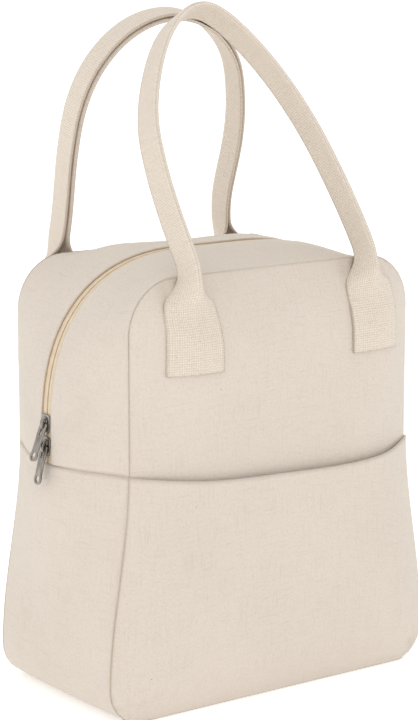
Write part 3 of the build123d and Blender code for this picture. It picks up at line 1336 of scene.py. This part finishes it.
def plate(name: str, loops: list, thickness: float, bevel: float, place: Matrix, paint: Paint) -> Piece:
    """Stamp a bevelled plate from flat loops, the first one outside and the others holes.

    Args:
        name: The object's name.
        loops: Lists of flat points.
        thickness: The plate's thickness.
        bevel: The rounding of its edges.
        place: Where its own XY plane lies.
        paint: The plate's material.

    Returns:
        The new object.
    """
    curve = bpy.data.curves.new(name + "_outline", "CURVE")
    curve.dimensions, curve.fill_mode = "2D", "BOTH"
    curve.extrude, curve.bevel_depth, curve.bevel_resolution = thickness / 2 - bevel, bevel, 2
    for loop in loops:
        spline = curve.splines.new("POLY")
        spline.points.add(len(loop) - 1)
        spline.points.foreach_set("co", np.array([(x, y, 0, 1) for x, y in loop]).ravel())
        spline.use_cyclic_u = True
    holder = bpy.data.objects.new(name + "_outline", curve)
    mesh = bpy.data.meshes.new_from_object(holder)
    bpy.data.objects.remove(holder)
    bpy.data.curves.remove(curve)
    work = bmesh.new()
    work.from_mesh(mesh)
    bmesh.ops.remove_doubles(work, verts=work.verts, dist=1e-6)
    bmesh.ops.recalc_face_normals(work, faces=work.faces)
    bmesh.ops.transform(work, matrix=place, verts=work.verts)
    work.to_mesh(mesh)
    work.free()
    mesh.materials.clear()
    mesh.materials.append(paint)
    for polygon in mesh.polygons:
        polygon.material_index = 0
    made = bpy.data.objects.new(name, mesh)
    bpy.context.scene.collection.objects.link(made)
    mesh.set_sharp_from_angle(angle=radians(35))
    return made


def rounded_loop(
    half_length: float, half_width: float, radius: float, centre: tuple = (0.0, 0.0), taper: float = 0.0
) -> list:
    """A rounded rectangle, or with a taper a shield shape.

    Args:
        half_length: Half of its length in X.
        half_width: Half of its width in Y.
        radius: Its corners' radius.
        centre: Its middle.
        taper: How much narrower its -X end is, as a share.

    Returns:
        Points in order.
    """
    loop = []
    for corner, (sx, sy) in enumerate(((1, 1), (-1, 1), (-1, -1), (1, -1))):
        width = half_width * (1 - taper) if sx < 0 else half_width
        for step in range(7):
            turn = (corner + step / 6) * pi / 2
            x = sx * (half_length - radius) + radius * cos(turn)
            y = sy * (width - radius) + radius * sin(turn)
            loop.append((centre[0] + x, centre[1] + y))
    return loop


def arc_loop(radius: float, centre: tuple, start: float, end: float, steps: int) -> list:
    """Points on an arc.

    Args:
        radius: The arc's radius.
        centre: The arc's centre.
        start: Its first angle, in radians.
        end: Its last angle, in radians.
        steps: How many spans it has.

    Returns:
        Points in order.
    """
    turns = np.linspace(start, end, steps + 1)
    return [(centre[0] + radius * cos(turn), centre[1] + radius * sin(turn)) for turn in turns]


@dataclass
class Slider:
    """One slider with its pull, parked on the straight low end of the zip."""

    word: str
    height: float
    lean: float
    palette: Palette
    face: float = 0.2 * MM
    length: float = 12.6 * MM
    width: float = 8.8 * MM
    outer_plate: float = 0.9 * MM
    inner_plate: float = 1.2 * MM
    inner_face: float = 4.8 * MM
    pivot: float = 1.25 * MM
    bridge_height: float = 3.5 * MM
    pull_length: float = 25.6 * MM
    pull_thickness: float = 1.3 * MM

    def frame_at(self, lean: float, out: float) -> Matrix:
        """A plane with X up the zip and Z out of the bag's side.

        Args:
            lean: How far its low end swings out, in radians.
            out: How far its origin stands out of the slider's face.

        Returns:
            The matrix that places it.
        """
        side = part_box("base_gusset")[0][0]
        up, away = Vector((sin(lean), 0, cos(lean))), Vector((-cos(lean), 0, sin(lean)))
        across = away.cross(up)
        turn = Matrix((up, across, away)).transposed().to_4x4()
        return Matrix.Translation((side + self.face - out, 0, self.height)) @ turn

    def body(self) -> Piece:
        """Build the slider's body.

        Returns:
            The new piece.
        """
        metal, name = self.palette.metal, f"{self.word}_slider_body"
        half, wide = self.length / 2, self.width / 2
        shield = rounded_loop(half, wide, 2.2 * MM, taper=0.28)
        high = self.frame_at(0, -self.outer_plate / 2)
        outer = plate(name, [shield], self.outer_plate, 0.35 * MM, high, metal)
        deep = self.inner_face + self.inner_plate / 2
        inner = plate("inner", [shield], self.inner_plate, 0.3 * MM, self.frame_at(0, -deep), metal)
        post = plate(
            "post", [rounded_loop(2.0 * MM, 0.55 * MM, 0.4 * MM, (2.0 * MM, 0))], self.inner_face, 0.1 * MM,
            self.frame_at(0, -self.inner_face / 2), metal,
        )
        arch = arc_loop(5.2 * MM, (0, -1.7 * MM), radians(160.5), radians(19.5), 18)
        hollow = arc_loop(4.1 * MM, (0, -1.7 * MM), radians(24), radians(156), 18)
        upright = self.frame_at(0, 0) @ Matrix.Rotation(pi / 2, 4, "X")
        bridge = plate("bridge", [arch + hollow], 2.4 * MM, 0.35 * MM, upright, metal)
        return join(outer, [inner, post, bridge])

    def pull(self) -> Piece:
        """Build the pull tab.

        Returns:
            The new piece.
        """
        bar, tip, round_end = self.pull_thickness / 2, 3.7 * MM, 1.2 * MM
        end = bar - self.pull_length + tip
        neck, head = 3.1 * MM, 3.5 * MM
        head_low, neck_top = -7.2 * MM, -9.2 * MM
        loop = arc_loop(round_end, (bar - round_end, head - round_end), 0.0, pi / 2, 5)
        loop += [(head_low, head), (neck_top, neck)]
        loop += arc_loop(tip, (end, 0), radians(56), radians(304), 30)
        loop += [(neck_top, -neck), (head_low, -head)]
        loop += arc_loop(round_end, (bar - round_end, round_end - head), -pi / 2, 0.0, 5)
        eye = rounded_loop(3.3 * MM, 1.5 * MM, 0.6 * MM, (-2 * bar - 3.0 * MM, 0))
        hole = arc_loop(2.5 * MM, (end, 0), 0, 2 * pi, 28)[:-1]
        place = self.frame_at(radians(self.lean), self.pivot)
        return plate(
            f"{self.word}_pull_tab", [loop, eye, hole], self.pull_thickness, 0.3 * MM, place,
            self.palette.metal,
        )

    def build(self) -> None:
        """Build the slider and its pull."""
        body, pull = self.body(), self.pull()
        for piece, node in ((body, f"{self.word}_slider"), (pull, f"{self.word}_pull")):
            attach(piece, node)
            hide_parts(node)
        log.info("%s slider built", self.word)


def join(first: Piece, others: list) -> Piece:
    """Put several meshes into one object.

    Args:
        first: The object that keeps its name.
        others: The objects that are taken in.

    Returns:
        The first object.
    """
    work = bmesh.new()
    for piece in [first] + others:
        work.from_mesh(piece.data)
    work.to_mesh(first.data)
    work.free()
    for piece in others:
        mesh = piece.data
        bpy.data.objects.remove(piece)
        bpy.data.meshes.remove(mesh)
    first.data.set_sharp_from_angle(angle=radians(35))
    return first


# ---------------------------------------------------------------- the handles


@dataclass
class Handle:
    """One strip of webbing: flat where it is sewn on, folded in half along its grip."""

    side: Side
    form: BagForm
    palette: Palette
    apex: tuple
    route: tuple
    width: float = 40 * MM
    thickness: float = 1.7 * MM
    tab_low: float = 229 * MM
    tab_high: float = 262 * MM
    fold_length: float = 37 * MM
    fold_round: float = 1.42 * MM
    hinge_z: float = 268.4 * MM
    lift: float = 1.5 * MM
    press_top: float = 282 * MM
    grip_start: float = 85 * MM
    stations: int = 190
    tab_rows: int = 16
    across: int = 28

    @property
    def hinge_y(self) -> float:
        """Depth of the handle's hinge line."""
        return self.side.value * (self.form.seam_y + self.form.bulge + 4.2 * MM)

    @property
    def lean(self) -> float:
        """How far the handle leans in, in radians from upright."""
        return float(np.arctan2(abs(self.hinge_y - self.apex[0]), self.apex[1] - self.hinge_z))

    def centre_line(self) -> tuple:
        """The strip's middle from one sewn end to the other.

        Returns:
            Points, and for each one how far the webbing is folded, 0 to 1.
        """
        loop = smooth_path([(x * MM, v * MM) for x, v in self.route], self.stations)
        sign, lean = self.side.value, self.lean
        up = np.column_stack([
            loop[:, 0],
            self.hinge_y - sign * loop[:, 1] * sin(lean),
            self.hinge_z + loop[:, 1] * cos(lean),
        ])
        count = self.tab_rows
        rise = np.linspace(self.tab_low, self.tab_high, count)
        out = np.full(count, sign * (self.form.seam_y + self.form.bulge + self.lift))
        ends = [np.column_stack([np.full(count, x), out, rise]) for x in (loop[0, 0], loop[-1, 0])]
        away = np.minimum(np.arange(self.stations), np.arange(self.stations)[::-1]) / self.stations
        length = float(run_along(loop)[-1])
        fold = ease(ramp(away * length + 4 * MM, self.fold_length))
        keep = (away * length) > 5 * MM
        line = np.vstack([ends[0], up[keep], ends[1][::-1]])
        folds = np.concatenate([np.zeros(count), fold[keep], np.zeros(count)])
        for _ in range(4):
            line[1:-1] = 0.25 * line[:-2] + 0.5 * line[1:-1] + 0.25 * line[2:]
            folds[1:-1] = 0.25 * folds[:-2] + 0.5 * folds[1:-1] + 0.25 * folds[2:]
        return line, folds

    def laid_on_panel(self, rings: Grid) -> Grid:
        """Press the sewn ends onto the panel's swollen surface, and free them above it.

        Args:
            rings: The strip's cross-sections.

        Returns:
            The cross-sections, moved in Y alone.
        """
        x, z = rings[..., 0], np.minimum(rings[..., 2], self.press_top)
        skin = self.form.swell(self.side, x, z, 0.0, self.form.bulge)
        skin += self.form.panel_softness(self.side, skin)
        sign = self.side.value
        middle = sign * (self.form.seam_y + self.form.bulge + self.lift)
        flat = skin[..., 1] + sign * 1.15 * MM + (rings[..., 1] - middle)
        free = ease(ramp(rings[..., 2] - self.tab_high + 2 * MM, 26 * MM))
        laid = rings.copy()
        laid[..., 1] = flat * (1 - free) + rings[..., 1] * free
        return laid

    def section(self, fold: float) -> tuple:
        """The strip's cross-section: flat when fold is 0, a closed fold when it is 1.

        Args:
            fold: How far it is folded.

        Returns:
            The outer and inner edge, as points (across, towards the open side).
        """
        place = np.linspace(-self.width / 2, self.width / 2, self.across + 1)
        bend = radians(89) * fold
        angle = bend * np.clip(place / self.fold_round, -1, 1)
        step = np.diff(place, prepend=place[0])
        middle_angle = np.convolve(np.pad(angle, 1, mode="edge"), (0.25, 0.5, 0.25), "valid")
        x, q = np.cumsum(np.cos(middle_angle) * step), np.cumsum(np.sin(middle_angle) * step)
        x -= np.interp(0, place, x)
        q -= np.interp(0, place, q) + self.width / 4 * fold
        normal = np.column_stack([-np.sin(middle_angle), np.cos(middle_angle)]) * self.thickness / 2
        line = np.column_stack([x, q])
        return line + normal, line - normal

    def build(self) -> Piece:
        """Build the strip of webbing.

        Returns:
            The new piece.
        """
        line, folds = self.centre_line()
        tangent = np.gradient(line, axis=0)
        tangent /= np.linalg.norm(tangent, axis=1, keepdims=True)
        rings = []
        for point, way, fold in zip(line, tangent, folds):
            lean = self.lean * fold
            open_way = np.array([0.0, -self.side.value * cos(lean), -sin(lean)])
            across = np.cross(way, open_way)
            across /= np.linalg.norm(across)
            open_way = np.cross(across, way)
            front, back = self.section(float(fold))
            loop = np.vstack([front, back[::-1]])
            rings.append(point + loop[:, :1] * across + loop[:, 1:] * open_way)
        rings = self.laid_on_panel(np.array(rings))
        count, ring = rings.shape[:2]
        faces = quads(count, ring, wrap=True)
        faces.append(list(range(ring))[::-1])
        faces.append([(count - 1) * ring + k for k in range(ring)])
        run = run_along(line)
        half = np.linspace(0, self.width, self.across + 1)
        spread = np.concatenate([half, half[::-1]])
        places = np.dstack([np.tile(spread, (count, 1)), np.repeat(run[:, None], ring, 1)])
        edge = np.minimum(spread, self.width - spread)
        shade = np.tile(0.35 * bell(edge, 0.8 * MM), (count, 1))
        piece = new_object(
            f"{self.side.word}_webbing_handle", rings.reshape(-1, 3), faces, places.reshape(-1, 2),
            shade.ravel(), self.palette.webbing,
        )
        work = bmesh.new()
        work.from_mesh(piece.data)
        bmesh.ops.recalc_face_normals(work, faces=work.faces)
        work.to_mesh(piece.data)
        work.free()
        word = self.side.word
        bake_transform(piece)
        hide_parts(f"{word}_handle", f"{word}_handle_tab_left", f"{word}_handle_tab_right")
        self.sew(rings, run)
        return piece

    def sew(self, rings: Grid, run: Grid) -> None:
        """Sew both ends to the panel and close the grip.

        Args:
            rings: The strip's cross-sections.
            run: How far along the strip each one is.
        """
        word, last = self.side.word, self.across
        near, far = (2, last - 2) if self.side is Side.FRONT else (last - 2, 2)
        faces = rings + 0.1 * MM * self.outward(rings)
        ends = []
        rows = self.tab_rows - 1
        for part in (faces[1:rows], faces[-rows:-1]):
            ends += [part[:, near], part[:, far], part[2, 2:last - 1], part[-2, 2:last - 1]]
            ends += [part[-1, 2:last - 1]]
        sewn = stitches(f"{word}_tab_stitches", ends, self.palette.thread)
        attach(sewn, f"{word}_flap")
        grip = faces[(run > self.grip_start) & (run < run[-1] - self.grip_start)]
        rows = [grip[:, column] for column in (3, 5, last - 5, last - 3)]
        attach(stitches(f"{word}_grip_stitches", rows, self.palette.thread), f"{word}_handle")

    def outward(self, rings: Grid) -> Grid:
        """Unit normals of the strip's cross-sections, pointing out of the webbing.

        Args:
            rings: The strip's cross-sections.

        Returns:
            One normal for each point.
        """
        normal = grid_normals(rings)
        half = self.across + 1
        middle = np.concatenate([rings[:, half:][:, ::-1], rings[:, :half][:, ::-1]], axis=1)
        return normal * np.sign(((rings - middle) * normal).sum(axis=2, keepdims=True))


# ---------------------------------------------------------------- the studio


@dataclass
class Studio:
    """A pale floor, soft lights and the camera."""

    camera_place: tuple = (-947.6 * MM, -1284.9 * MM, 524.4 * MM)
    camera_way: tuple = (0.5813, 0.7914, -0.1891)
    lens: float = 119.3
    floor_size: float = 400.0

    def floor(self) -> None:
        """Lay the floor."""
        mesh = bpy.data.meshes.new("floor")
        half = self.floor_size / 2
        corners = [(-half, -half, 0), (half, -half, 0), (half, half, 0), (-half, half, 0)]
        mesh.from_pydata(corners, [], [(0, 1, 2, 3)])
        floor = bpy.data.objects.new("floor", mesh)
        bpy.context.scene.collection.objects.link(floor)
        sheet = NodeSheet("pale_floor")
        sheet.shader.inputs["Base Color"].default_value = (0.9, 0.9, 0.9, 1)
        sheet.shader.inputs["Emission Color"].default_value = (1, 1, 1, 1)
        sheet.shader.inputs["Emission Strength"].default_value = 0.35
        sheet.shader.inputs["Roughness"].default_value = 0.9
        mesh.materials.append(sheet.material)

    def light(self, name: str, place: tuple, target: tuple, size: float, power: float) -> None:
        """Hang one soft light.

        Args:
            name: The light's name.
            place: Where it hangs.
            target: What it is turned to.
            size: The side of its square.
            power: Its power, in watts.
        """
        lamp = bpy.data.lights.new(name, "AREA")
        lamp.size, lamp.energy = size, power
        holder = bpy.data.objects.new(name, lamp)
        bpy.context.scene.collection.objects.link(holder)
        holder.location = place
        holder.rotation_euler = (Vector(target) - Vector(place)).to_track_quat("-Z", "Y").to_euler()

    def build(self) -> None:
        """Build the floor, the lights, the sky and the camera."""
        scene = bpy.context.scene
        self.floor()
        world = bpy.data.worlds.new("studio")
        world.use_nodes = True
        world.node_tree.nodes["Background"].inputs[0].default_value = (1, 1, 1, 1)
        world.node_tree.nodes["Background"].inputs[1].default_value = 1.0
        scene.world = world
        scene.view_settings.view_transform = "Standard"
        middle = (0, 0, 0.2)
        self.light("key", (-0.7, -1.8, 1.6), middle, 1.4, 5)
        self.light("side", (-2.0, 0.3, 0.9), middle, 1.3, 2)
        self.light("back", (1.2, 1.6, 1.8), middle, 1.4, 2)
        camera = bpy.data.cameras.new("camera")
        camera.lens, camera.sensor_width, camera.clip_end = self.lens, 36.0, 500.0
        holder = bpy.data.objects.new("camera", camera)
        scene.collection.objects.link(holder)
        holder.location = self.camera_place
        holder.rotation_euler = Vector(self.camera_way).to_track_quat("-Z", "Y").to_euler()
        scene.camera = holder


# ---------------------------------------------------------------- the whole bag


FRONT_ROUTE = (
    (-75, 0), (-74, 32), (-76, 66), (-76, 98), (-72, 130), (-60, 160), (-42, 188), (-22, 206), (-4, 211),
    (8, 206), (20, 194), (34, 174), (47, 148), (58, 116), (66, 78), (71, 40), (73, 0),
)
BACK_ROUTE = (
    (-75, 0), (-71, 38), (-73, 90), (-71, 124), (-62, 150), (-46, 170), (-26, 182), (-4, 186),
    (16, 182), (36, 171), (53, 151), (62, 122), (65, 92), (63, 50), (69, 18), (73, 0),
)


def main() -> None:
    """Build the bag, piece by piece, and its studio."""
    logging.basicConfig(level=logging.INFO, format="%(name)s: %(message)s")
    Studio().build()
    palette, form, bending = Palette(), BagForm(), Bending()
    Shell(form, palette, bending).build()
    Pocket(form, palette).build()
    Zip(form, palette, bending).build()
    Slider("upper", 190 * MM, 22.0, palette).build()
    Slider("lower", 175 * MM, 14.0, palette).build()
    Handle(Side.FRONT, form, palette, (13 * MM, 455 * MM), FRONT_ROUTE).build()
    Handle(Side.BACK, form, palette, (44 * MM, 448 * MM), BACK_ROUTE).build()


if __name__ == "__main__":
    main()
